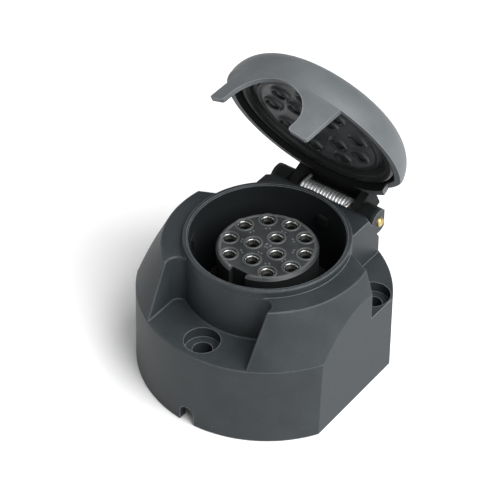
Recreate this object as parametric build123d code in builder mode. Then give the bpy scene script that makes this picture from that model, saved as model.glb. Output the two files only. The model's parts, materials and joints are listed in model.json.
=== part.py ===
"""A 13-pole trailer wiring socket: a moulded housing, a keyed contact carrier and a hinged, sealed lid.

Frame: millimetres, +Z up. The origin is midway between the two side screws, on the flat mounting face.
-Y is the key side and the front screw, +Y is the hinge side, and X runs along the hinge pin.
The pieces are drawn about the axis of the plug mouth, and saved in the frame of the side screws.
The lid is drawn closed and then swung open by OPEN_ANGLE, the pose in which the socket rests.
"""
from build123d import *
from math import cos, radians, sin, sqrt, tan
import os

# Housing outline
BASE_RADIUS = 39.6          # skirt at the mounting face
SKIRT_RADIUS = 38.7         # skirt where the shoulder starts
SKIRT_HEIGHT = 26.4
BACK_RADIUS = 38.6          # the rear of the outline is flatter than the front
BACK_CENTRE_Y = -3.0
FLAT_X = 33.7               # the two side flats
RING_RADIUS = 30.8          # upper edge of the conical shoulder
RING_Z = 42.0
WALL = 2.6
SOFT_EDGE = 0.5
SOFT_EDGE_SMALL = 0.4

# Plug mouth
COLLAR_RADIUS = 24.55
COLLAR_FOOT_RADIUS = 25.5
COLLAR_TOP = 44.4
BORE_RADIUS = 22.9
MOUTH_CHAMFER = 0.45
WEB_BOTTOM = 14.0           # the web that carries the contact insert
WEB_TOP = 17.0
LUG_COUNT = 3
LUG_START = 80              # degrees from +X; the others follow at even steps
LUG_REACH = 1.0
LUG_WIDTH = 3.6
LUG_BOTTOM = 35.0
LUG_HEIGHT = 3.0

# Fixing screws: 56 mm across and 45 mm from front to rear
SCREW_SPACING_X = 56.0
SCREW_REAR_Y = 13.7
SCREW_FRONT_Y = SCREW_REAR_Y - 45.0
SCREW_HOLE_RADIUS = 2.9
SCREW_HEAD_RADIUS = 5.3
SCREW_HEAD_DEPTH = 3.5
BOSS_RADIUS = 5.9

# Front pocket for the lid legs and the front screw
POCKET_HALF_WIDTH = 17.9
POCKET_CORNER = 3.2
POCKET_DRAFT = 2.0

# Rear pockets and hinge block
BLOCK_HALF_WIDTH = 18.7
BLOCK_BACK_Y = 30.4
SLANT_INNER = (22.0, 10.4)  # top view points of the slanted wall ahead of each rear pocket
SLANT_OUTER = (50.0, -2.7)
EAR_INNER_X = 13.0
EAR_RADIUS = 4.0
EAR_BACK_Y = 32.9
HINGE_POCKET_Y = 26.1
HINGE_POCKET_FLOOR = 32.4

# Hinge
HINGE_Y = 30.2
HINGE_Z = 38.1
OPEN_ANGLE = 64.4
PIN_RADIUS = 1.6
PIN_END = 19.8              # the +X end stands proud of its ear
PIN_FIT = 0.02
ARM_FIT = 0.08
ARM_INNER_X = 9.9
ARM_OUTER_X = 12.6
ARM_RADIUS = 3.6

# Drain notch
NOTCH_HALF_WIDTH = 2.5
NOTCH_SHOULDER = 3.2
DRAIN_HEIGHT = 7.0          # the front screw boss stops this high above the mounting face

# Contact insert
INSERT_RADIUS = 15.0
INSERT_TOP = 40.2
SPIGOT_RADIUS = 14.3
SPIGOT_HOLE_RADIUS = 14.35
KEY_WIDTH = 5.6
KEY_DEPTH = 2.0
KEY_BOTTOM = 30.0

# Contacts: (distance from the mouth axis, angle from the key direction)
OUTER_RING = [(11.6, 36 * step) for step in (-4, -3, -2, -1, 1, 2, 3, 4, 5)]
INNER_RING = [(4.4, 72), (4.4, -72), (4.4, 180), (7.5, 0)]
CONTACTS = OUTER_RING + INNER_RING
CONTACT_RADIUS = 2.0
CONTACT_BORE = 1.5
CONTACT_TOP = 39.3
CONTACT_BOTTOM = 4.5
CONTACT_HOLE_RADIUS = 2.2
COLLET_RADIUS = 2.5         # the shoulder trapped between the insert and the retainer plate
COLLET_HEIGHT = 1.5
WIRE_BORE = 1.3
WIRE_DEPTH = 7.0
TERMINAL_Z = 7.6
TERMINAL_RADIUS = 0.95
TERMINAL_REACH = 2.7

# Retainer plate behind the web
PLATE_RADIUS = 16.0
PLATE_THICKNESS = 2.6
RETAINER_SCREWS = [(0.0, 0.0), (7.6, 126), (7.6, -126)]
RETAINER_SHANK = 1.2
RETAINER_HEAD = 2.0
RETAINER_HEAD_HEIGHT = 1.4
RETAINER_LENGTH = 7.0

# Lid, in its closed place
LID_RADIUS = 29.3
LID_RIM_Z = 43.4
LID_TOP_Z = 54.6
LID_EDGE_RADIUS = 10.6
LID_WALL = 2.2
LID_CROWN = 0.5
RELIEF_X = 19.2             # the skirt is relieved beside the free end of the hinge pin
RELIEF_Y = 9.0
RELIEF_Z = 45.9
LEG_HALF_WIDTH = 16.3
LEG_BOTTOM = 28.5
LEG_FLARE = 0.4             # radius gained per millimetre of drop
LEG_THICKNESS = 1.9
LEG_CORNER = 1.0
ARCH_RADIUS = 11.0
ARCH_Z = 31.5
TUBE_RADIUS = 21.0
HOOD_BACK_Y = 35.7
HOOD_FRONT_Y = 33.95
HOOD_TOP_Z = 45.9
HOOD_BOTTOM_Z = 40.2

# Lid seal, in its closed place
SEAL_RADIUS = 25.8
SEAL_FACE_Z = 46.0
SEAL_TOP_Z = 48.4
SEAL_LIP_Z = 44.75
SEAL_LIP_INNER = 22.6
RIB_RADIUS = 2.9
RIB_WIDTH = 0.8
RIB_HEIGHT = 0.9
OUTER_RIBS = [(15.0, 40 * step) for step in range(9)]
INNER_RIBS = [(8.2, 90 * step + 45) for step in range(4)]

# Spring
WIRE_RADIUS = 0.55
COIL_RADIUS = 2.55
COIL_PITCH = 1.3
COIL_LENGTH = 16.9
SPRING_LEG = 3.4

# Mouth seal
MOUTH_SEAL_INNER = 15.3
MOUTH_SEAL_OUTER = 22.6
MOUTH_SEAL_HEIGHT = 2.2

HINGE_AXIS = Axis((0, HINGE_Y, HINGE_Z), (-1, 0, 0))
HINGE_SIDE_PLANE = Plane(origin=(0, HINGE_Y, HINGE_Z), x_dir=(0, 1, 0), z_dir=(1, 0, 0))
SIDE_PLANE = Plane.YZ


def polar(distance, angle_from_key):
    """Top-view place at a distance from the mouth axis, turned from the key direction (-Y)."""
    turn = radians(angle_from_key - 90)
    return (distance * cos(turn), distance * sin(turn))


def on_shoulder(edge):
    """True for the outer edges of the shoulder and the upright front corners of the flats."""
    middle = edge @ 0.5
    reach = abs(middle.X)
    ahead_of_slant = middle.Y < SLANT_INNER[1] - 0.6
    on_flank = middle.Z > SKIRT_HEIGHT + 1 and ahead_of_slant and reach > LEG_HALF_WIDTH + 1
    on_pocket_corner = reach < POCKET_HALF_WIDTH and middle.Y > SCREW_FRONT_Y + 6
    on_front_corner = reach > FLAT_X - 0.5 and middle.Y < -10 and abs(middle.Z - SKIRT_HEIGHT / 2) < 1
    return (on_flank and not on_pocket_corner) or on_front_corner


def on_front_ledge(edge):
    """True for the outer edge of the front pocket's floor."""
    middle = edge @ 0.5
    on_floor = abs(middle.Z - SKIRT_HEIGHT) < 0.2
    return on_floor and middle.Y < SCREW_FRONT_Y - 2.5 and abs(middle.X) < POCKET_HALF_WIDTH


def clamp_plane(place, angle_from_key):
    """Plane on a contact's axis at terminal height, facing away from the mouth axis."""
    turn = radians(angle_from_key)
    return Plane(
        origin=(place[0], place[1], TERMINAL_Z),
        x_dir=(0, 0, 1),
        z_dir=(sin(turn), -cos(turn), 0),
    )


def save(piece, name):
    """Move one finished piece into the frame of the side screws, label it and write its STEP file."""
    placed = piece.part.moved(Location((0, -SCREW_REAR_Y, 0)))
    placed.label = name
    export_step(placed, f"parts/{name}.step")


os.makedirs("parts", exist_ok=True)

# ---------------------------------------------------------------- housing
screw_places = [
    (0, SCREW_FRONT_Y),
    (SCREW_SPACING_X / 2, SCREW_REAR_Y),
    (-SCREW_SPACING_X / 2, SCREW_REAR_Y),
]

with BuildPart() as front_pocket:
    with BuildSketch(Plane.XY.offset(RING_Z)) as front_pocket_outline:
        with Locations((0, -40)):
            Rectangle(2 * POCKET_HALF_WIDTH, 60)
        Circle(COLLAR_RADIUS, mode=Mode.SUBTRACT)
        inner_corners = front_pocket_outline.vertices().filter_by(
            lambda corner: abs(corner.Y + sqrt(COLLAR_RADIUS**2 - POCKET_HALF_WIDTH**2)) < 0.1
        )
        fillet(inner_corners, POCKET_CORNER)
    extrude(amount=-(RING_Z - SKIRT_HEIGHT), taper=POCKET_DRAFT)

with BuildPart() as rear_pockets:
    with BuildSketch(Plane.XY.offset(SKIRT_HEIGHT)):
        with BuildLine():
            Polyline(
                SLANT_INNER,
                SLANT_OUTER,
                (SLANT_OUTER[0], 60),
                (-SLANT_OUTER[0], 60),
                (-SLANT_OUTER[0], SLANT_OUTER[1]),
                (-SLANT_INNER[0], SLANT_INNER[1]),
                close=True,
            )
        make_face()
        with Locations((0, BLOCK_BACK_Y / 2)):
            Rectangle(2 * BLOCK_HALF_WIDTH, BLOCK_BACK_Y, mode=Mode.SUBTRACT)
        Circle(COLLAR_RADIUS, mode=Mode.SUBTRACT)
    extrude(amount=30)

with BuildPart() as cavity:
    # Space under the shell, kept a wall thickness away from the pockets, the mouth and the hinge block.
    with BuildSketch(Plane.XZ):
        with BuildLine():
            Polyline(
                (COLLAR_FOOT_RADIUS, 0),
                (BASE_RADIUS - WALL, 0),
                (SKIRT_RADIUS - WALL, SKIRT_HEIGHT - 1),
                (RING_RADIUS - WALL, RING_Z - WALL),
                (COLLAR_FOOT_RADIUS, RING_Z - WALL),
                close=True,
            )
        make_face()
    revolve(axis=Axis.Z)
    with BuildSketch():
        Circle(COLLAR_FOOT_RADIUS + 0.1)
    extrude(amount=WEB_BOTTOM)
    with BuildSketch():
        with Locations((0, BACK_CENTRE_Y)):
            Circle(BACK_RADIUS - WALL)
    extrude(amount=RING_Z, mode=Mode.INTERSECT)
    with BuildSketch():
        Rectangle(2 * (FLAT_X - WALL), 2 * BASE_RADIUS)
    extrude(amount=RING_Z, mode=Mode.INTERSECT)
    with BuildSketch(Plane.XY.offset(SKIRT_HEIGHT - WALL)):
        with Locations((0, -BASE_RADIUS / 2)):
            Rectangle(2 * (POCKET_HALF_WIDTH + WALL), BASE_RADIUS)
        with Locations((0, BASE_RADIUS / 2 + 1)):
            Rectangle(2 * BASE_RADIUS, BASE_RADIUS)
    extrude(amount=RING_Z, mode=Mode.SUBTRACT)
    with BuildSketch():
        with Locations(screw_places):
            Circle(BOSS_RADIUS)
    extrude(amount=RING_Z, mode=Mode.SUBTRACT)

with BuildPart() as housing:
    with BuildSketch(Plane.XZ):
        with BuildLine():
            Polyline(
                (0, 0),
                (BASE_RADIUS, 0),
                (SKIRT_RADIUS, SKIRT_HEIGHT),
                (RING_RADIUS, RING_Z),
                (0, RING_Z),
                close=True,
            )
        make_face()
    revolve(axis=Axis.Z)
    with BuildSketch():
        Rectangle(2 * FLAT_X, 3 * BASE_RADIUS)
    extrude(amount=RING_Z, mode=Mode.INTERSECT)
    with BuildSketch():
        Circle(BACK_RADIUS + 20)
        with Locations((0, BACK_CENTRE_Y)):
            Circle(BACK_RADIUS, mode=Mode.SUBTRACT)
        with Locations((0, -BASE_RADIUS)):
            Rectangle(4 * BASE_RADIUS, 2 * BASE_RADIUS, mode=Mode.SUBTRACT)
    extrude(amount=RING_Z, mode=Mode.SUBTRACT)
    add(front_pocket.part, mode=Mode.SUBTRACT)
    add(rear_pockets.part, mode=Mode.SUBTRACT)

    # Soft edges where the flats and pockets cut the shoulder and the skirt.
    fillet(housing.edges().filter_by(on_shoulder), SOFT_EDGE)
    fillet(housing.edges().filter_by(on_front_ledge), SOFT_EDGE_SMALL)

    # Hinge ears, then the open hinge pocket between them.
    with BuildSketch(HINGE_SIDE_PLANE.offset(-BLOCK_HALF_WIDTH)):
        Circle(EAR_RADIUS)
        with Locations((EAR_BACK_Y - HINGE_Y + EAR_RADIUS, 0)):
            Rectangle(2 * EAR_RADIUS, 2 * EAR_RADIUS, mode=Mode.SUBTRACT)
    extrude(amount=2 * BLOCK_HALF_WIDTH)
    with BuildSketch(Plane.XY.offset(HINGE_POCKET_FLOOR)):
        with Locations((0, HINGE_POCKET_Y + 10)):
            Rectangle(2 * EAR_INNER_X, 20)
    extrude(amount=30, mode=Mode.SUBTRACT)

    # Collar of the mouth.
    with BuildSketch(Plane.XZ):
        with BuildLine():
            Polyline(
                (BORE_RADIUS - 1, RING_Z - 1),
                (COLLAR_RADIUS, RING_Z - 1),
                (COLLAR_RADIUS, COLLAR_TOP),
                (BORE_RADIUS - 1, COLLAR_TOP),
                close=True,
            )
        make_face()
    revolve(axis=Axis.Z)
    collar_edges = housing.edges().filter_by(GeomType.CIRCLE).group_by(Axis.Z)[-1]
    fillet(collar_edges.sort_by(SortBy.RADIUS)[-1], SOFT_EDGE)

    add(cavity.part, mode=Mode.SUBTRACT)

    # Mouth, web hole and bayonet lugs.
    with BuildSketch(Plane.XY.offset(WEB_TOP)):
        Circle(BORE_RADIUS)
    extrude(amount=COLLAR_TOP, mode=Mode.SUBTRACT)
    with BuildSketch(Plane.XY.offset(WEB_BOTTOM)):
        Circle(SPIGOT_HOLE_RADIUS)
    extrude(amount=COLLAR_TOP, mode=Mode.SUBTRACT)
    mouth_edges = housing.edges().filter_by(GeomType.CIRCLE).group_by(Axis.Z)[-1]
    chamfer(mouth_edges.sort_by(SortBy.RADIUS)[0], MOUTH_CHAMFER)
    with BuildSketch(Plane.XY.offset(LUG_BOTTOM)):
        with PolarLocations(BORE_RADIUS - LUG_REACH / 2 + 0.3, LUG_COUNT, start_angle=LUG_START):
            Rectangle(LUG_REACH + 0.6, LUG_WIDTH)
    extrude(amount=LUG_HEIGHT)

    # Fixing screws.
    with Locations(Plane.XY.offset(SKIRT_HEIGHT)):
        with Locations(screw_places):
            CounterBoreHole(SCREW_HOLE_RADIUS, SCREW_HEAD_RADIUS, SCREW_HEAD_DEPTH)

    # Pin holes through both ears.
    with BuildSketch(HINGE_SIDE_PLANE.offset(-BLOCK_HALF_WIDTH - 1)):
        Circle(PIN_RADIUS + PIN_FIT)
    extrude(amount=2 * BLOCK_HALF_WIDTH + 2, mode=Mode.SUBTRACT)

    # Drain notch in the foot of the skirt, and the passage under the front screw boss.
    with BuildSketch(Plane.XZ.offset(BASE_RADIUS - 2 * WALL)):
        with Locations((0, NOTCH_SHOULDER)):
            Circle(NOTCH_HALF_WIDTH)
        with Locations((0, NOTCH_SHOULDER / 2)):
            Rectangle(2 * NOTCH_HALF_WIDTH, NOTCH_SHOULDER)
    extrude(amount=3 * WALL, mode=Mode.SUBTRACT)
    with BuildSketch():
        with Locations((0, SCREW_FRONT_Y)):
            Circle(BOSS_RADIUS + 0.2)
        Circle(BASE_RADIUS - WALL, mode=Mode.INTERSECT)
    extrude(amount=DRAIN_HEIGHT, mode=Mode.SUBTRACT)

save(housing, "housing")

# ---------------------------------------------------------------- contact insert
contact_places = [polar(distance, angle) for distance, angle in CONTACTS]
retainer_places = [polar(distance, angle) for distance, angle in RETAINER_SCREWS]

with BuildPart() as contact_insert:
    with BuildSketch(Plane.XY.offset(WEB_TOP)):
        Circle(INSERT_RADIUS)
    extrude(amount=INSERT_TOP - WEB_TOP)
    rim = contact_insert.edges().filter_by(GeomType.CIRCLE).sort_by(Axis.Z)[-1]
    chamfer(rim, 0.6)
    with BuildSketch(Plane.XY.offset(WEB_BOTTOM)):
        Circle(SPIGOT_RADIUS)
    extrude(amount=WEB_TOP - WEB_BOTTOM)
    with BuildSketch(Plane.XY.offset(KEY_BOTTOM)):
        with Locations((0, -INSERT_RADIUS)):
            Rectangle(KEY_WIDTH, 2 * KEY_DEPTH)
    extrude(amount=INSERT_TOP, mode=Mode.SUBTRACT)
    with BuildSketch(Plane.XY.offset(WEB_BOTTOM)):
        with Locations(contact_places):
            Circle(CONTACT_HOLE_RADIUS)
    extrude(amount=INSERT_TOP, mode=Mode.SUBTRACT)
    with BuildSketch(Plane.XY.offset(WEB_BOTTOM)):
        with Locations(retainer_places):
            Circle(RETAINER_SHANK + 0.05)
    extrude(amount=RETAINER_LENGTH, mode=Mode.SUBTRACT)

save(contact_insert, "contact_insert")

# ---------------------------------------------------------------- contacts and their clamping screws
for number, (distance, angle) in enumerate(CONTACTS, start=1):
    place = polar(distance, angle)
    with BuildPart() as contact:
        with BuildSketch(Plane.XY.offset(CONTACT_BOTTOM)):
            with Locations(place):
                Circle(CONTACT_RADIUS)
        extrude(amount=CONTACT_TOP - CONTACT_BOTTOM)
        with BuildSketch(Plane.XY.offset(WEB_BOTTOM)):
            with Locations(place):
                Circle(COLLET_RADIUS)
        extrude(amount=-COLLET_HEIGHT)
        with BuildSketch(Plane.XY.offset(CONTACT_TOP)):
            with Locations(place):
                Circle(CONTACT_BORE)
        extrude(amount=-(CONTACT_TOP - WEB_TOP), mode=Mode.SUBTRACT)
        with BuildSketch(Plane.XY.offset(CONTACT_BOTTOM)):
            with Locations(place):
                Circle(WIRE_BORE)
        extrude(amount=WIRE_DEPTH, mode=Mode.SUBTRACT)
        with BuildSketch(clamp_plane(place, angle)):
            Circle(TERMINAL_RADIUS + 0.05)
        extrude(amount=2 * CONTACT_RADIUS, mode=Mode.SUBTRACT)
    save(contact, f"contact_{number:02d}")

with BuildPart() as terminal_screws:
    for distance, angle in CONTACTS:
        screw_plane = clamp_plane(polar(distance, angle), angle)
        with BuildSketch(screw_plane.offset(WIRE_BORE - 0.6)):
            Circle(TERMINAL_RADIUS)
        extrude(amount=TERMINAL_REACH - WIRE_BORE + 0.6)
        with BuildSketch(screw_plane.offset(TERMINAL_REACH)):
            Rectangle(2 * TERMINAL_RADIUS, 0.35)
        extrude(amount=-0.6, mode=Mode.SUBTRACT)

save(terminal_screws, "terminal_screws")

# ---------------------------------------------------------------- retainer plate and its screws
with BuildPart() as contact_retainer:
    with BuildSketch(Plane.XY.offset(WEB_BOTTOM - PLATE_THICKNESS)):
        Circle(PLATE_RADIUS)
        with Locations(contact_places):
            Circle(CONTACT_RADIUS + 0.15, mode=Mode.SUBTRACT)
        with Locations(retainer_places):
            Circle(RETAINER_SHANK + 0.1, mode=Mode.SUBTRACT)
    extrude(amount=PLATE_THICKNESS)
    with BuildSketch(Plane.XY.offset(WEB_BOTTOM)):
        with Locations(contact_places):
            Circle(COLLET_RADIUS + 0.05)
    extrude(amount=-COLLET_HEIGHT, mode=Mode.SUBTRACT)

save(contact_retainer, "contact_retainer")

with BuildPart() as retainer_screws:
    with BuildSketch(Plane.XY.offset(WEB_BOTTOM - PLATE_THICKNESS - RETAINER_HEAD_HEIGHT)):
        with Locations(retainer_places):
            Circle(RETAINER_HEAD)
    extrude(amount=RETAINER_HEAD_HEIGHT)
    with BuildSketch(Plane.XY.offset(WEB_BOTTOM - PLATE_THICKNESS)):
        with Locations(retainer_places):
            Circle(RETAINER_SHANK)
    extrude(amount=RETAINER_LENGTH)
    with BuildSketch(Plane.XY.offset(WEB_BOTTOM - PLATE_THICKNESS - RETAINER_HEAD_HEIGHT)):
        with Locations(retainer_places):
            Rectangle(2.4, 0.5)
            Rectangle(0.5, 2.4)
    extrude(amount=0.8, mode=Mode.SUBTRACT)

save(retainer_screws, "retainer_screws")

# ---------------------------------------------------------------- mouth seal
with BuildPart() as mouth_seal:
    with BuildSketch(Plane.XY.offset(WEB_TOP)):
        Circle(MOUTH_SEAL_OUTER)
        Circle(MOUTH_SEAL_INNER, mode=Mode.SUBTRACT)
    extrude(amount=MOUTH_SEAL_HEIGHT)
    upper_edges = mouth_seal.edges().filter_by(GeomType.CIRCLE).group_by(Axis.Z)[-1]
    fillet(upper_edges, 0.6)

save(mouth_seal, "mouth_seal")

# ---------------------------------------------------------------- hinge pin
with BuildPart() as hinge_pin:
    with BuildSketch(HINGE_SIDE_PLANE.offset(-BLOCK_HALF_WIDTH + 0.3)):
        Circle(PIN_RADIUS)
    extrude(amount=PIN_END + BLOCK_HALF_WIDTH - 0.3)
    pin_ends = hinge_pin.edges().filter_by(GeomType.CIRCLE)
    chamfer(pin_ends, 0.3)

save(hinge_pin, "hinge_pin")

# ---------------------------------------------------------------- lid
with BuildPart() as legs:
    # A flared band of the skirt, trimmed to two legs beside an arched opening.
    band_top = LID_RIM_Z + 0.5
    drop = band_top - LEG_BOTTOM
    with BuildSketch(Plane.XZ):
        with BuildLine():
            Polyline(
                (LID_RADIUS - LEG_THICKNESS - 0.5 * LEG_FLARE, band_top),
                (LID_RADIUS, band_top),
                (LID_RADIUS, LID_RIM_Z),
                (LID_RADIUS + (LID_RIM_Z - LEG_BOTTOM) * LEG_FLARE, LEG_BOTTOM),
                (LID_RADIUS + (LID_RIM_Z - LEG_BOTTOM) * LEG_FLARE - LEG_THICKNESS, LEG_BOTTOM),
                close=True,
            )
        make_face()
    revolve(axis=Axis.Z)
    with BuildSketch(Plane.XZ):
        with Locations((0, LEG_BOTTOM + drop / 2)):
            Rectangle(2 * LEG_HALF_WIDTH, drop)
        with Locations((0, ARCH_Z)):
            Circle(ARCH_RADIUS, mode=Mode.SUBTRACT)
        with Locations((0, LEG_BOTTOM)):
            Rectangle(2 * ARCH_RADIUS, 2 * (ARCH_Z - LEG_BOTTOM), mode=Mode.SUBTRACT)
    extrude(amount=2 * LID_RADIUS, mode=Mode.INTERSECT)
    leg_corners = legs.edges().filter_by(Axis.Y).group_by(Axis.Z)[0]
    fillet(leg_corners, LEG_CORNER)
    outer_face = legs.faces().filter_by(GeomType.CONE).sort_by(SortBy.AREA)[-1]
    fillet(outer_face.edges().filter_by(lambda edge: (edge @ 0.5).Z < LID_RIM_Z - 0.5), SOFT_EDGE_SMALL)

with BuildPart() as closed_lid:
    with BuildSketch(Plane.XZ):
        with BuildLine():
            side = Line((LID_RADIUS, LID_RIM_Z), (LID_RADIUS, LID_TOP_Z - LID_EDGE_RADIUS))
            edge = RadiusArc(
                side @ 1, (LID_RADIUS - LID_EDGE_RADIUS, LID_TOP_Z), -LID_EDGE_RADIUS
            )
            crown = Spline(edge @ 1, (0, LID_TOP_Z + LID_CROWN), tangents=[(-1, 0), (-1, 0)])
            Line(crown @ 1, (0, LID_RIM_Z))
            Line((0, LID_RIM_Z), side @ 0)
        make_face()
    revolve(axis=Axis.Z)
    with BuildSketch(Plane.XZ):
        with BuildLine():
            inner_radius = LID_RADIUS - LID_WALL
            inner_edge = LID_EDGE_RADIUS - LID_WALL
            shoulder_z = LID_TOP_Z - LID_EDGE_RADIUS
            inner_side = Line((inner_radius, LID_RIM_Z - 1), (inner_radius, shoulder_z))
            inner_arc = RadiusArc(
                inner_side @ 1, (inner_radius - inner_edge, LID_TOP_Z - LID_WALL), -inner_edge
            )
            Line(inner_arc @ 1, (0, LID_TOP_Z - LID_WALL))
            Line((0, LID_TOP_Z - LID_WALL), (0, LID_RIM_Z - 1))
            Line((0, LID_RIM_Z - 1), inner_side @ 0)
        make_face()
    revolve(axis=Axis.Z, mode=Mode.SUBTRACT)

    # Relief of the skirt beside the free end of the hinge pin.
    relief_width = LID_RADIUS + 1 - RELIEF_X
    with BuildSketch(Plane.XY.offset(LID_RIM_Z - 1)):
        with Locations((RELIEF_X + relief_width / 2, RELIEF_Y + LID_RADIUS / 2)):
            Rectangle(relief_width, LID_RADIUS)
    extrude(amount=RELIEF_Z - LID_RIM_Z + 1, mode=Mode.SUBTRACT)

    # Tube that carries the seal.
    with BuildSketch(Plane.XY.offset(SEAL_TOP_Z)):
        Circle(TUBE_RADIUS)
        Circle(TUBE_RADIUS - LID_WALL, mode=Mode.SUBTRACT)
    extrude(amount=LID_TOP_Z - LID_WALL / 2 - SEAL_TOP_Z)

    # Legs around the arched opening.
    add(legs.part)

    # Hinge arms, and the hood that covers the spring between them.
    for arm_start in (ARM_INNER_X, -ARM_OUTER_X):
        with BuildSketch(SIDE_PLANE.offset(arm_start)):
            with Locations((HINGE_Y, HINGE_Z)):
                Circle(ARM_RADIUS)
            with BuildLine():
                Polyline(
                    (HINGE_Y - ARM_RADIUS, HINGE_Z),
                    (HINGE_Y - ARM_RADIUS, HOOD_TOP_Z),
                    (HOOD_BACK_Y, HOOD_TOP_Z),
                    (HOOD_BACK_Y, HOOD_BOTTOM_Z),
                    (HINGE_Y + ARM_RADIUS, HINGE_Z),
                    close=True,
                )
            make_face()
        extrude(amount=ARM_OUTER_X - ARM_INNER_X)
    with BuildSketch(SIDE_PLANE.offset(-ARM_OUTER_X)):
        with BuildLine():
            Polyline(
                (LID_RADIUS - LID_WALL, LID_RIM_Z),
                (LID_RADIUS - LID_WALL, HOOD_TOP_Z),
                (HOOD_BACK_Y, HOOD_TOP_Z),
                (HOOD_BACK_Y, HOOD_BOTTOM_Z),
                (HOOD_FRONT_Y, HOOD_BOTTOM_Z),
                (HOOD_FRONT_Y, LID_RIM_Z),
                close=True,
            )
        make_face()
    extrude(amount=2 * ARM_OUTER_X)
    with BuildSketch(HINGE_SIDE_PLANE.offset(-ARM_OUTER_X - 1)):
        Circle(PIN_RADIUS + ARM_FIT)
    extrude(amount=2 * ARM_OUTER_X + 2, mode=Mode.SUBTRACT)

with BuildPart() as lid:
    add(closed_lid.part.rotate(HINGE_AXIS, OPEN_ANGLE))

save(lid, "lid")

# ---------------------------------------------------------------- lid seal
with BuildPart() as closed_seal:
    with BuildSketch(Plane.XY.offset(SEAL_FACE_Z)):
        Circle(SEAL_RADIUS)
    extrude(amount=SEAL_TOP_Z - SEAL_FACE_Z)
    with BuildSketch(Plane.XY.offset(SEAL_LIP_Z)):
        Circle(SEAL_RADIUS)
        Circle(SEAL_LIP_INNER, mode=Mode.SUBTRACT)
    extrude(amount=SEAL_FACE_Z - SEAL_LIP_Z)
    with BuildSketch(Plane.XY.offset(SEAL_FACE_Z - RIB_HEIGHT)):
        for distance, angle in OUTER_RIBS + INNER_RIBS:
            with Locations(polar(distance, angle)):
                Circle(RIB_RADIUS)
                Circle(RIB_RADIUS - RIB_WIDTH, mode=Mode.SUBTRACT)
    extrude(amount=RIB_HEIGHT)
    with BuildSketch(Plane.XY.offset(SEAL_TOP_Z)):
        Circle(TUBE_RADIUS - LID_WALL - 0.1)
    extrude(amount=1.2)

with BuildPart() as lid_seal:
    add(closed_seal.part.rotate(HINGE_AXIS, OPEN_ANGLE))

save(lid_seal, "lid_seal")

# ---------------------------------------------------------------- lid spring
with BuildPart() as lid_spring:
    with BuildLine():
        coil = Helix(
            COIL_PITCH,
            COIL_LENGTH,
            COIL_RADIUS,
            center=(-COIL_LENGTH / 2, HINGE_Y, HINGE_Z),
            direction=(1, 0, 0),
        )
    with BuildSketch(Plane(origin=coil @ 0, z_dir=coil % 0)):
        Circle(WIRE_RADIUS)
    sweep()
    with BuildSketch(Plane(origin=coil @ 0, z_dir=coil % 0)):
        Circle(WIRE_RADIUS)
    extrude(amount=-SPRING_LEG)
    with BuildSketch(Plane(origin=coil @ 1, z_dir=coil % 1)):
        Circle(WIRE_RADIUS)
    extrude(amount=SPRING_LEG)

save(lid_spring, "lid_spring")
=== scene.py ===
"""Looks of a 13-pole trailer socket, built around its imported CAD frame.

Lengths are in metres, except in the outlines given to mm(), which are in millimetres.
"""
import bpy
import bmesh
import json
import math
from mathutils import Matrix, Vector


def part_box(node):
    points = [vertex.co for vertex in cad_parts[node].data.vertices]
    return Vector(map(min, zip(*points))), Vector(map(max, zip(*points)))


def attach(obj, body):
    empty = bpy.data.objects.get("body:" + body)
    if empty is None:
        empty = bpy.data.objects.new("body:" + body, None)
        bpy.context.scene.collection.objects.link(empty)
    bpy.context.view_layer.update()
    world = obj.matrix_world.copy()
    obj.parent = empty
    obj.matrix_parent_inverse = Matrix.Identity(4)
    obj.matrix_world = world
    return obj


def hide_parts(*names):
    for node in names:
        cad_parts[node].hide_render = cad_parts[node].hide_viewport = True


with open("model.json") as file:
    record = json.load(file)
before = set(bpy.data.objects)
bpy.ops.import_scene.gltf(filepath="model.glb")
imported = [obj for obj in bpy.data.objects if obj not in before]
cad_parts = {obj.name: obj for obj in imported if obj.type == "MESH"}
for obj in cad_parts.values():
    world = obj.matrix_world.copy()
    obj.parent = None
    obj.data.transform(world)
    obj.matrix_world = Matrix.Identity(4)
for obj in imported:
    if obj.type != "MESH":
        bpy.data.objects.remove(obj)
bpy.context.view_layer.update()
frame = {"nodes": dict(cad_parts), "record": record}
record = frame["record"]
scene = bpy.context.scene
scene.view_settings.view_transform = "Standard"

MM = 0.001
BASE_NODES = record["behaviour"]["bodies"]["base"]
CONTACT_NODES = sorted(name for name in BASE_NODES if name.startswith("contact_") and name[-2:].isdigit())

# ---------------------------------------------------------------- places taken from the frame


def middle(node):
    """Centre of a CAD node's box."""
    low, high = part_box(node)
    return (Vector(low) + Vector(high)) / 2


# The mouth axis is upright through the middle of the mouth seal.
MOUTH = Vector((*middle("mouth_seal").xy, 0))
HINGE = record["behaviour"]["joints"][0]
HINGE_AXIS = Vector(HINGE["axis"])
PIVOT = Vector(HINGE["pos_m"])
CLOSED_TURN = math.radians(HINGE["range_deg"][0])

# From the closed lid to the open rest pose.
OPENING = (
    Matrix.Translation(PIVOT) @ Matrix.Rotation(-CLOSED_TURN, 4, HINGE_AXIS) @ Matrix.Translation(-PIVOT)
)

# ---------------------------------------------------------------- camera
AZIMUTH = math.radians(36.42)
ELEVATION = math.radians(41.806)
DISTANCE = 0.609
TARGET = MOUTH + Vector((0, 0, 0.025375))
SENSOR_WIDTH = 36              # millimetres
FOCAL_LENGTH = 149.09          # millimetres
SHIFT_X = -0.0349
SHIFT_Y = 0.0679

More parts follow.
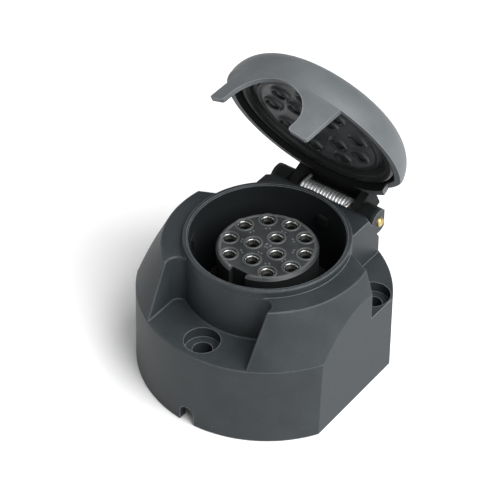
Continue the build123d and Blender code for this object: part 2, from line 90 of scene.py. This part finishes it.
back = Vector((
    math.sin(AZIMUTH) * math.cos(ELEVATION),
    -math.cos(AZIMUTH) * math.cos(ELEVATION),
    math.sin(ELEVATION),
))
camera_data = bpy.data.cameras.new("camera")
camera_data.sensor_width = SENSOR_WIDTH
camera_data.lens = FOCAL_LENGTH
camera_data.shift_x = SHIFT_X
camera_data.shift_y = SHIFT_Y
camera_data.clip_start = 0.01
camera_data.clip_end = 20
camera = bpy.data.objects.new("camera", camera_data)
camera.location = TARGET + back * DISTANCE
camera.rotation_euler = back.to_track_quat("Z", "Y").to_euler()
scene.collection.objects.link(camera)
scene.camera = camera

# ---------------------------------------------------------------- node helpers


def material(name):
    """A new material with its tree, its Principled shader and object coordinates."""
    made = bpy.data.materials.new(name)
    made.use_nodes = True
    tree = made.node_tree
    shader = tree.nodes["Principled BSDF"]
    place = tree.nodes.new("ShaderNodeTexCoord").outputs["Object"]
    return made, tree, shader, place


def noise(tree, place, size, detail=3.0, roughness=0.55):
    """Noise whose features are about size metres wide."""
    node = tree.nodes.new("ShaderNodeTexNoise")
    node.inputs["Scale"].default_value = 1 / size
    node.inputs["Detail"].default_value = detail
    node.inputs["Roughness"].default_value = roughness
    tree.links.new(place, node.inputs["Vector"])
    return node.outputs["Fac"]


def remap(tree, value, low, high, to_low, to_high):
    """Linear map of a value from one range to another, clamped."""
    node = tree.nodes.new("ShaderNodeMapRange")
    tree.links.new(value, node.inputs["Value"])
    for key, number in (("From Min", low), ("From Max", high), ("To Min", to_low), ("To Max", to_high)):
        node.inputs[key].default_value = number
    return node.outputs["Result"]


def fill_in(tree, socket, value):
    """Links another socket to this one, or sets it to a plain value."""
    if isinstance(value, bpy.types.NodeSocket):
        tree.links.new(value, socket)
    else:
        socket.default_value = value


def mix(tree, factor, first, second):
    """Colour mixed from two colours or colour sockets by a factor socket."""
    node = tree.nodes.new("ShaderNodeMix")
    node.data_type = "RGBA"
    tree.links.new(factor, node.inputs["Factor"])
    for socket, value in ((node.inputs["A"], first), (node.inputs["B"], second)):
        fill_in(tree, socket, (*value, 1) if isinstance(value, tuple) else value)
    return node.outputs["Result"]


def math_node(tree, operation, first, second=0.0):
    """Result of a math operation on sockets or numbers."""
    node = tree.nodes.new("ShaderNodeMath")
    node.operation = operation
    fill_in(tree, node.inputs[0], first)
    fill_in(tree, node.inputs[1], second)
    return node.outputs["Value"]


def vector_node(tree, operation, first, second):
    """Node of a vector operation on a vector socket and a second socket or vector."""
    node = tree.nodes.new("ShaderNodeVectorMath")
    node.operation = operation
    fill_in(tree, node.inputs[0], first)
    fill_in(tree, node.inputs[1], second)
    return node


def bump(tree, shader, height, distance):
    """Bump from a height socket, chained after any bump the shader already has."""
    node = tree.nodes.new("ShaderNodeBump")
    node.inputs["Distance"].default_value = distance
    node.inputs["Strength"].default_value = 1.0
    tree.links.new(height, node.inputs["Height"])
    if shader.inputs["Normal"].is_linked:
        tree.links.new(shader.inputs["Normal"].links[0].from_socket, node.inputs["Normal"])
    tree.links.new(node.outputs["Normal"], shader.inputs["Normal"])


# ---------------------------------------------------------------- masks


def edge_mask(tree, radius, gain):
    """Close to 1 along sharp edges and 0 on open faces."""
    bevel = tree.nodes.new("ShaderNodeBevel")
    bevel.samples = 4
    bevel.inputs["Radius"].default_value = radius
    geometry = tree.nodes.new("ShaderNodeNewGeometry")
    alike = vector_node(tree, "DOT_PRODUCT", bevel.outputs["Normal"], geometry.outputs["Normal"])
    return remap(tree, alike.outputs["Value"], 1.0, 1.0 - 1 / gain, 0.0, 1.0)


def zone(tree, place, reach=None, width=None, behind=None, bottom=None, top=None, soft=0.3 * MM):
    """Mask of a region about the mouth axis: 1 inside every limit that is given, 0 outside."""
    offset = vector_node(tree, "SUBTRACT", place, MOUTH)
    parts = tree.nodes.new("ShaderNodeSeparateXYZ")
    tree.links.new(offset.outputs["Vector"], parts.inputs[0])
    across, along, height = parts.outputs["X"], parts.outputs["Y"], parts.outputs["Z"]
    masks = []
    if reach is not None:
        squares = [math_node(tree, "MULTIPLY", part, part) for part in (across, along)]
        radius = math_node(tree, "SQRT", math_node(tree, "ADD", *squares))
        masks.append(remap(tree, radius, reach - soft, reach, 1.0, 0.0))
    if width is not None:
        aside = math_node(tree, "ABSOLUTE", across)
        masks.append(remap(tree, aside, width - soft, width, 1.0, 0.0))
    if behind is not None:
        masks.append(remap(tree, along, behind, behind + soft, 0.0, 1.0))
    if bottom is not None:
        masks.append(remap(tree, height, bottom, bottom + soft, 0.0, 1.0))
    if top is not None:
        masks.append(remap(tree, height, top - soft, top, 1.0, 0.0))
    inside = masks[0]
    for mask in masks[1:]:
        inside = math_node(tree, "MULTIPLY", inside, mask)
    return inside


def facing(tree, direction, low, high):
    """Mask of the faces that look along a direction fixed to the object: 0 below low, 1 above high."""
    source = tree.nodes.new("ShaderNodeTexCoord")
    along = vector_node(tree, "DOT_PRODUCT", source.outputs["Normal"], direction)
    return remap(tree, along.outputs["Value"], low, high, 0.0, 1.0)


def closed_place(tree, place):
    """Coordinates on the lid as if it were closed."""
    turn = tree.nodes.new("ShaderNodeVectorRotate")
    turn.rotation_type = "AXIS_ANGLE"
    turn.inputs["Center"].default_value = PIVOT
    turn.inputs["Axis"].default_value = HINGE_AXIS
    turn.inputs["Angle"].default_value = CLOSED_TURN
    tree.links.new(place, turn.inputs["Vector"])
    return turn.outputs["Vector"]


# ---------------------------------------------------------------- materials


def plastic(name, dark, light, wear_and_highlight, rough, grain=14e-6, rub_and_highlight=0.5 * MM, shine=0.3):
    """Moulded plastic: clouded colour, spark-eroded grain, and paler edges that are part rub wear and part
    painted highlight.
    """
    made, tree, shader, place = material(name)
    cloud = noise(tree, place, 11 * MM, 4.0)
    fleck = noise(tree, place, 0.7 * MM, 2.0, 0.7)
    base = mix(tree, remap(tree, cloud, 0.35, 0.65, 0.0, 1.0), dark, light)
    base = mix(tree, remap(tree, fleck, 0.62, 0.78, 0.0, 0.1), base, wear_and_highlight)
    chafe_and_highlight = remap(tree, noise(tree, place, 4 * MM, 3.0), 0.3, 0.6, 0.55, 0.95)
    # Paler along sharp edges: part rub wear, part painted highlight.
    base = mix(tree, math_node(tree, "MULTIPLY", edge_mask(tree, rub_and_highlight, 9.0), chafe_and_highlight), base, wear_and_highlight)
    tree.links.new(base, shader.inputs["Base Color"])
    tree.links.new(remap(tree, cloud, 0.3, 0.7, rough - 0.05, rough + 0.05), shader.inputs["Roughness"])
    bump(tree, shader, noise(tree, place, 0.28 * MM, 5.0, 0.7), grain)
    bump(tree, shader, noise(tree, place, 6 * MM, 2.0), 30e-6)
    shader.inputs["Specular IOR Level"].default_value = shine
    return made, tree, shader, place


def metal(name, dark, light, rough, streak=(1, 1, 1)):
    """Metal with fine drawn streaks, dull patches and varied roughness."""
    made, tree, shader, place = material(name)
    stretch = vector_node(tree, "MULTIPLY", place, streak)
    lines = noise(tree, stretch.outputs["Vector"], 0.4 * MM, 4.0)
    patch = noise(tree, place, 1.6 * MM, 3.0)
    base = mix(tree, remap(tree, patch, 0.35, 0.65, 0.0, 1.0), dark, light)
    tree.links.new(base, shader.inputs["Base Color"])
    tree.links.new(remap(tree, lines, 0.3, 0.7, rough - 0.08, rough + 0.08), shader.inputs["Roughness"])
    bump(tree, shader, lines, 8e-6)
    shader.inputs["Metallic"].default_value = 1.0
    return made


def rubber(name, dark, light, rough):
    """Moulded rubber: dusty colour variation, soft sheen and a fine skin."""
    made, tree, shader, place = material(name)
    dust = noise(tree, place, 4 * MM, 5.0, 0.65)
    skin = noise(tree, place, 0.3 * MM, 4.0, 0.7)
    base = mix(tree, remap(tree, dust, 0.35, 0.68, 0.0, 1.0), dark, light)
    tree.links.new(base, shader.inputs["Base Color"])
    tree.links.new(remap(tree, dust, 0.3, 0.7, rough - 0.07, rough + 0.07), shader.inputs["Roughness"])
    bump(tree, shader, skin, 12e-6)
    shader.inputs["Specular IOR Level"].default_value = 0.35
    return made


def tint(tree, shader, mask, colour, rough):
    """Another colour, and at least this roughness, where the mask is 1."""
    base = shader.inputs["Base Color"].links[0].from_socket
    tree.links.new(mix(tree, mask, base, colour), shader.inputs["Base Color"])
    before = shader.inputs["Roughness"].links[0].from_socket
    dull = remap(tree, mask, 0.0, 1.0, 0.0, rough)
    tree.links.new(math_node(tree, "MAXIMUM", before, dull), shader.inputs["Roughness"])


# Walls that little light reaches are painted in this colour, darker than the rest of the moulding.
SHADE = (0.004, 0.0048, 0.0052)

HOUSING, tree, shader, place = plastic(
    "housing_plastic", (0.023, 0.0275, 0.030), (0.031, 0.0365, 0.040), (0.21, 0.222, 0.24), 0.5,
    rub_and_highlight=0.4 * MM, shine=0.22,
)
# Painted shade on the walls inside the mouth and about the hinge ears.
mouth_wall = zone(tree, place, reach=23.1 * MM, top=43.9 * MM)
tint(tree, shader, mouth_wall, SHADE, 0.85)
hinge_ears = zone(tree, place, width=18.5 * MM, behind=24.8 * MM, bottom=31 * MM, soft=1.5 * MM)
tint(tree, shader, hinge_ears, SHADE, 0.7)

LID_INWARD = OPENING.to_3x3() @ Vector((0, -1, -1)).normalized()
LID, tree, shader, place = plastic(
    "lid_plastic", (0.078, 0.086, 0.091), (0.098, 0.107, 0.113), (0.20, 0.21, 0.22), 0.48, rub_and_highlight=0.4 * MM
)
# Painted shade inside the lid and on its inward faces at the hinge side.
shut = closed_place(tree, place)
lid_cavity = zone(tree, shut, reach=27.5 * MM, top=49.7 * MM)
tint(tree, shader, lid_cavity, SHADE, 0.85)
inward = facing(tree, LID_INWARD, -0.35, -0.05)
hinge_side = zone(tree, shut, width=13.0 * MM, behind=26.2 * MM, top=46.2 * MM)
tint(tree, shader, math_node(tree, "MULTIPLY", hinge_side, inward), SHADE, 0.8)

INSERT, tree, shader, place = plastic(
    "insert_plastic", (0.020, 0.022, 0.0235), (0.040, 0.043, 0.045), (0.095, 0.10, 0.103), 0.4, grain=25e-6
)
# Painted shade on the insert below its face.
below_face = zone(tree, place, top=39.7 * MM)
tint(tree, shader, below_face, SHADE, 0.85)

# Painted highlight: the raised collars and marks are drawn in a lighter copy of the insert plastic they are
# moulded from.
RELIEF_HIGHLIGHT = plastic(
    "insert_relief", (0.045, 0.049, 0.051), (0.085, 0.090, 0.093), (0.17, 0.177, 0.18), 0.4,
    grain=30e-6, rub_and_highlight=0.2 * MM,
)[0]
CONTACT = metal("contact_nickel", (0.66, 0.66, 0.63), (0.88, 0.88, 0.85), 0.3)
STEEL = metal("screw_zinc", (0.42, 0.43, 0.43), (0.62, 0.63, 0.62), 0.36)
# Painted shade: the inside of a sleeve, the same nickel as its lip, drawn as dark metal.
BORE_SHADE = metal("contact_bore_shade", (0.05, 0.05, 0.048), (0.10, 0.10, 0.095), 0.55)
BRASS = metal("pin_brass", (0.42, 0.31, 0.13), (0.64, 0.50, 0.24), 0.42, (0.1, 1, 1))
SPRING = metal("spring_wire", (0.80, 0.81, 0.82), (0.94, 0.95, 0.96), 0.52)
SEAL = rubber("mouth_rubber", (0.008, 0.0085, 0.009), (0.016, 0.0165, 0.017), 0.55)
PAD = rubber("lid_pad_rubber", (0.030, 0.0335, 0.0355), (0.052, 0.056, 0.060), 0.33)
# Painted shade: the same pad rubber, drawn near black where light hardly reaches.
PAD_SHADE = rubber("lid_pad_shade", (0.0055, 0.0065, 0.007), (0.011, 0.0125, 0.013), 0.5)

NODE_MATERIALS = {
    "housing": HOUSING,
    "contact_insert": INSERT,
    "terminal_screws": STEEL,
    "contact_retainer": INSERT,
    "retainer_screws": STEEL,
    "lid": LID,
}
for node_name, finish in NODE_MATERIALS.items():
    node = frame["nodes"][node_name]
    node.data.materials.clear()
    node.data.materials.append(finish)

# ---------------------------------------------------------------- shapes


def mm(*points):
    """Points given in millimetres, in metres."""
    return [tuple(value * MM for value in point) for point in points]


def around(centre, distance, degrees):
    """The point at a distance from an upright axis, at an angle from +X."""
    turn = math.radians(degrees)
    return centre + Vector((math.cos(turn), math.sin(turn), 0)) * distance


def rounded(outline, radius, steps=3):
    """The closed outline with each corner softened by a short curve."""
    soft = []
    for index, point in enumerate(outline):
        corner = Vector(point)
        ends = []
        for neighbour in (outline[index - 1], outline[(index + 1) % len(outline)]):
            span = Vector(neighbour) - corner
            ends.append(corner + span.normalized() * min(radius, 0.45 * span.length))
        start, end = ends
        for step in range(steps + 1):
            t = step / steps
            soft.append((1 - t) ** 2 * start + 2 * t * (1 - t) * corner + t**2 * end)
    return soft


def lathe(mesh, outline, centre, segments=96, start=0.0, sweep=360.0):
    """Adds a turned solid about the upright axis through centre, or a capped part of a turn."""
    whole = sweep >= 360.0
    count = segments if whole else segments + 1
    rings = []
    for index in range(count):
        turn = math.radians(start + sweep * index / segments)
        ring = []
        for radius, height in outline:
            place = (centre[0] + radius * math.cos(turn), centre[1] + radius * math.sin(turn), height)
            ring.append(mesh.verts.new(place))
        rings.append(ring)
    for index in range(segments):
        near, far = rings[index], rings[(index + 1) % count]
        for point in range(len(outline)):
            after = (point + 1) % len(outline)
            mesh.faces.new((near[point], far[point], far[after], near[after]))
    if not whole:
        mesh.faces.new(rings[0])
        mesh.faces.new(reversed(rings[-1]))


def tube(mesh, path, radius, sides=10):
    """Adds a round wire along a path of points."""
    normal = Vector((1, 0, 0))
    rings = []
    for index, point in enumerate(path):
        ahead = path[min(index + 1, len(path) - 1)]
        behind = path[max(index - 1, 0)]
        along = (ahead - behind).normalized()
        normal = (normal - along * normal.dot(along)).normalized()
        other = along.cross(normal)
        ring = []
        for side in range(sides):
            turn = 2 * math.pi * side / sides
            ring.append(mesh.verts.new(point + (normal * math.cos(turn) + other * math.sin(turn)) * radius))
        rings.append(ring)
    for near, far in zip(rings, rings[1:]):
        for side in range(sides):
            after = (side + 1) % sides
            mesh.faces.new((near[side], near[after], far[after], far[side]))
    mesh.faces.new(reversed(rings[0]))
    mesh.faces.new(rings[-1])


def piece(name, mesh, finishes, body, nodes=(), turn=None):
    """Turns a bmesh into a smooth piece that rides a body and stands for CAD nodes."""
    bmesh.ops.remove_doubles(mesh, verts=mesh.verts, dist=1e-7)
    bmesh.ops.dissolve_degenerate(mesh, edges=mesh.edges, dist=1e-8)
    bmesh.ops.recalc_face_normals(mesh, faces=mesh.faces)
    data = bpy.data.meshes.new(name)
    mesh.to_mesh(data)
    mesh.free()
    if turn:
        data.transform(turn)
    for polygon in data.polygons:
        polygon.use_smooth = True
    for finish in finishes:
        data.materials.append(finish)
    made = bpy.data.objects.new(name, data)
    scene.collection.objects.link(made)
    made.modifiers.new("weighted_normals", "WEIGHTED_NORMAL").keep_sharp = True
    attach(made, body)
    if nodes:
        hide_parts(*nodes)


# ---------------------------------------------------------------- lid pad
PAD_EDGE = 19.4 * MM           # the pale face ends here and the surround painted dark as shade begins
BOSS_REACH = 3.05 * MM
BOSS_TOP = 45.95 * MM          # a boss is painted dark, as shade, below this height of the closed lid
KEY_DIRECTION = -90            # the bosses are counted from the key side
OUTER_BOSSES = [(15.0 * MM, 40 * step) for step in range(9)]
INNER_BOSSES = [(8.2 * MM, 90 * step + 45) for step in range(4)]

pad = bmesh.new()
pad_outline = mm(
    (0, 46.0), (19.0, 46.0), (19.6, 45.7), (20.4, 45.7), (20.9, 46.7), (22.6, 46.7), (22.9, 45.4),
    (23.9, 44.75), (25.2, 44.75), (25.8, 45.6), (25.8, 48.4), (18.7, 48.4), (18.7, 49.6), (0, 49.6),
)
rib_outline = mm((2.05, 46.2), (2.15, 45.35), (2.5, 45.1), (2.95, 45.2), (3.25, 45.85), (3.35, 46.2))
button_outline = mm((0, 46.2), (1.35, 46.2), (1.2, 45.7), (0.7, 45.5), (0, 45.5))
bosses = [around(MOUTH, distance, angle + KEY_DIRECTION) for distance, angle in OUTER_BOSSES + INNER_BOSSES]
lathe(pad, rounded(pad_outline, 0.35 * MM), MOUTH, 144)
for boss in bosses:
    lathe(pad, rounded(rib_outline, 0.2 * MM), boss, 48)
    lathe(pad, rounded(button_outline, 0.2 * MM), boss, 32)
for face in pad.faces:
    # Faces of the surround and the lower parts of the bosses get the painted shade.
    spot = face.calc_center_median()
    in_boss = spot.z < BOSS_TOP and any((spot.xy - boss.xy).length < BOSS_REACH for boss in bosses)
    in_surround = (spot.xy - MOUTH.xy).length > PAD_EDGE
    face.material_index = 1 if in_surround or in_boss else 0
piece("lid_pad", pad, (PAD, PAD_SHADE), "cover", ("lid_seal",), OPENING)

# ---------------------------------------------------------------- mouth seal
gasket = bmesh.new()
gasket_outline = mm(
    (15.3, 17.0), (22.6, 17.0), (22.6, 18.5), (21.9, 19.2), (21.0, 19.2), (20.6, 18.7), (19.9, 18.7),
    (19.5, 19.2), (18.4, 19.2), (18.0, 18.7), (17.3, 18.7), (16.9, 19.2), (16.0, 19.2), (15.3, 18.5),
)
lathe(gasket, rounded(gasket_outline, 0.25 * MM), MOUTH)
piece("mouth_gasket", gasket, (SEAL,), "base", ("mouth_seal",))

# ---------------------------------------------------------------- spring
COIL_RADIUS = 2.55 * MM
WIRE_RADIUS = 0.55 * MM
COIL_HALF = 8.45 * MM
TURNS = 15
STEPS = TURNS * 28
LEG = 3.4 * MM
LEG_STEPS = 4

crown = Vector((0, 0, COIL_RADIUS))
path = [
    PIVOT + crown + Vector((-COIL_HALF, LEG * (1 - step / LEG_STEPS), 0)) for step in range(LEG_STEPS)
]
for step in range(STEPS + 1):
    turn = 2 * math.pi * TURNS * step / STEPS
    across = -COIL_HALF + 2 * COIL_HALF * step / STEPS
    path.append(PIVOT + Vector((across, -COIL_RADIUS * math.sin(turn), COIL_RADIUS * math.cos(turn))))
path += [
    PIVOT + crown + Vector((COIL_HALF, -LEG * (step + 1) / LEG_STEPS, 0)) for step in range(LEG_STEPS)
]
coil = bmesh.new()
tube(coil, path, WIRE_RADIUS)
piece("spring_coil", coil, (SPRING,), "base", ("lid_spring",))

# ---------------------------------------------------------------- hinge pin, drawn upright and laid along X
pin_low, pin_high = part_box("hinge_pin")
pin_radius = (pin_high[2] - pin_low[2]) / 2 / MM
pin_start, pin_end = pin_low[0] / MM, pin_high[0] / MM
rod = bmesh.new()
rod_outline = mm(
    (0, pin_start), (pin_radius - 0.3, pin_start), (pin_radius, pin_start + 0.3), (pin_radius, pin_end - 1.2),
    (pin_radius - 0.18, pin_end - 0.55), (pin_radius - 0.6, pin_end - 0.16), (0, pin_end),
)
lathe(rod, rounded(rod_outline, 0.25 * MM), (0, 0), 48)
lay_down = Matrix.Translation(Vector((0, PIVOT.y, PIVOT.z))) @ Matrix.Rotation(math.radians(90), 4, "Y")
piece("pin_rod", rod, (BRASS,), "base", ("hinge_pin",), lay_down)

# ---------------------------------------------------------------- contact sleeves
SLOT_HALF_ANGLE = 6.0
SLOT_TURN = 36.42              # plan direction of the slot, from +X
BORE_REACH = 1.9 * MM          # a sleeve is painted dark inside this radius, as shade in its bore
BORE_BOTTOM = 12.0 * MM
LIP_Z = 39.5 * MM              # and bright above this height

tail_outline = mm(
    (1.3, 4.5), (2.0, 4.5), (2.0, 12.5), (2.5, 12.5), (2.5, 14.0), (2.0, 14.0), (2.0, 30.0),
    (1.5, 30.0), (1.5, 17.0), (0, 17.0), (0, 11.5), (1.3, 11.5),
)
lip_outline = mm(
    (1.5, 30.0), (2.0, 30.0), (2.0, 39.0), (2.14, 39.5), (2.1, 39.85), (1.95, 39.85), (1.82, 39.45),
    (1.6, 38.9), (1.35, 38.5), (1.5, 37.2),
)
for node_name in CONTACT_NODES:
    sleeve = bmesh.new()
    centre = middle(node_name)
    lathe(sleeve, rounded(tail_outline, 0.12 * MM, 2), centre, 40)
    for half in (0, 180):
        first = SLOT_TURN + half + SLOT_HALF_ANGLE
        lathe(sleeve, rounded(lip_outline, 0.1 * MM, 2), centre, 28, first, 180 - 2 * SLOT_HALF_ANGLE)
    for face in sleeve.faces:
        spot = face.calc_center_median()
        # Faces inside the bore get the painted shade.
        in_bore_shade = (spot.xy - centre.xy).length < BORE_REACH and BORE_BOTTOM < spot.z < LIP_Z
        face.material_index = 1 if in_bore_shade else 0
    piece("sleeve_" + node_name[-2:], sleeve, (CONTACT, BORE_SHADE), "base", (node_name,))

# ---------------------------------------------------------------- raised collars and marks of the insert
DOT_INSET = 3.75 * MM          # from a contact's centre towards the mouth axis
DOT_SHIFT = 0.55 * MM
RIM_GAP = 27                   # degrees left open at the key slot
FACE_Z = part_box("contact_insert")[1][2] / MM

relief = bmesh.new()
collar_outline = mm(
    (2.25, FACE_Z - 0.1), (3.0, FACE_Z - 0.1), (2.9, FACE_Z + 0.22), (2.65, FACE_Z + 0.3),
    (2.3, FACE_Z + 0.22),
)
dot_outline = mm((0, FACE_Z - 0.1), (0.42, FACE_Z - 0.1), (0.36, FACE_Z + 0.12), (0, FACE_Z + 0.2))
rim_outline = mm(
    (13.35, FACE_Z - 0.1), (14.3, FACE_Z - 0.1), (14.2, FACE_Z + 0.12), (13.9, FACE_Z + 0.25),
    (13.5, FACE_Z + 0.2),
)
for node_name in CONTACT_NODES:
    centre = middle(node_name)
    lathe(relief, rounded(collar_outline, 0.12 * MM, 2), centre, 48)
    outward = (centre - MOUTH).xy.normalized()
    side = Vector((-outward.y, outward.x))
    for shift in (-DOT_SHIFT, DOT_SHIFT):
        spot = centre.xy - outward * DOT_INSET + side * shift
        lathe(relief, rounded(dot_outline, 0.1 * MM, 2), spot, 20)
lathe(relief, rounded(rim_outline, 0.12 * MM, 2), MOUTH, 120, KEY_DIRECTION + RIM_GAP / 2, 360 - RIM_GAP)
piece("insert_relief", relief, (RELIEF_HIGHLIGHT,), "base")

# ---------------------------------------------------------------- floor and light
FLOOR_HALF = 3
FLOOR_DROP = 0.2 * MM          # keeps the floor clear of the mounting face

floor_mesh = bpy.data.meshes.new("floor")
corners = [(-FLOOR_HALF, -FLOOR_HALF, 0), (FLOOR_HALF, -FLOOR_HALF, 0), (FLOOR_HALF, FLOOR_HALF, 0),
           (-FLOOR_HALF, FLOOR_HALF, 0)]
floor_mesh.from_pydata(corners, [], [(0, 1, 2, 3)])
floor = bpy.data.objects.new("floor", floor_mesh)
floor.location.z = -FLOOR_DROP
scene.collection.objects.link(floor)
floor_finish, tree, shader, place = material("floor")
tone = remap(tree, noise(tree, place, 0.2), 0.3, 0.7, 0.0, 1.0)
tree.links.new(mix(tree, tone, (0.92, 0.92, 0.92), (0.94, 0.94, 0.94)), shader.inputs["Base Color"])
shader.inputs["Roughness"].default_value = 0.9
floor_mesh.materials.append(floor_finish)

world = bpy.data.worlds.new("world")
scene.world = world
world.use_nodes = True
sky = world.node_tree.nodes["Background"]
sky.inputs["Color"].default_value = (1, 1, 1, 1)
sky.inputs["Strength"].default_value = 0.34


def area_light(name, place, size, power):
    """A square soft box aimed at the object."""
    data = bpy.data.lights.new(name, "AREA")
    data.size = size
    data.energy = power
    lamp = bpy.data.objects.new(name, data)
    lamp.location = place
    lamp.rotation_euler = (Vector(place) - TARGET).to_track_quat("Z", "Y").to_euler()
    scene.collection.objects.link(lamp)


area_light("key", (0.78, -0.12, 0.68), size=1.0, power=13.0)
area_light("top", (0.50, 0.0, 0.95), size=0.7, power=9.0)
area_light("fill", (-0.9, 0.1, 0.4), size=0.7, power=1.5)
